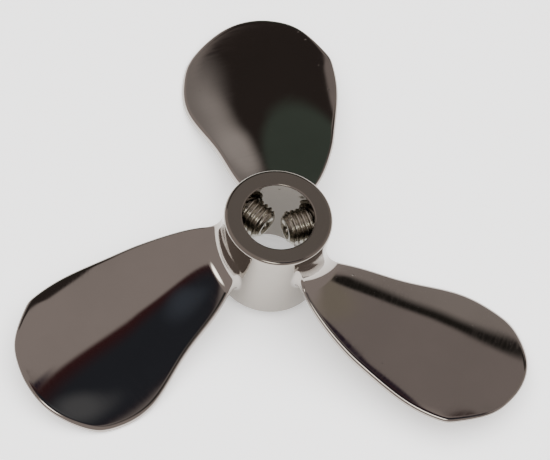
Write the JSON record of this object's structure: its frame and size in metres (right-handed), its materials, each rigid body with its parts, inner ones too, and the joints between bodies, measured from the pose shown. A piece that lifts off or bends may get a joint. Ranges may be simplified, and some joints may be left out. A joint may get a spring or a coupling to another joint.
{
  "type": "boat propeller",
  "caption": "Polished boat propeller: raked, cupped blades on a short hub with a plain shaft bore held by radial set screws.",
  "frame": {"origin": "centre of the hub's lower face, on the shaft axis", "axes": "+Z along the shaft towards the hub's upper face; blade 1 grows from the hub towards +Y"},
  "size_m": [0.1403, 0.1379, 0.0317],
  "materials": {
    "hub_steel": "mirror polished with fine turning marks",
    "blade_steel": "mirror polished with faint buffing streaks",
    "screw_steel": "bright threaded stainless"
  },
  "bodies": {
    "propeller": {"hub": "hub_steel", "blade_1": "blade_steel", "blade_2": "blade_steel", "blade_3": "blade_steel"},
    "set_screw_1": {"set_screw_1": "screw_steel"},
    "set_screw_2": {"set_screw_2": "screw_steel"}
  },
  "joints": [
    {"name": "set_screw_1_travel", "type": "slide", "parent": "propeller", "child": "set_screw_1", "axis": [0.866, 0.5, 0], "range_m": [0, 0.0075]},
    {"name": "set_screw_2_travel", "type": "slide", "parent": "propeller", "child": "set_screw_2", "axis": [-0.866, 0.5, 0], "range_m": [0, 0.0075]}
  ]
}
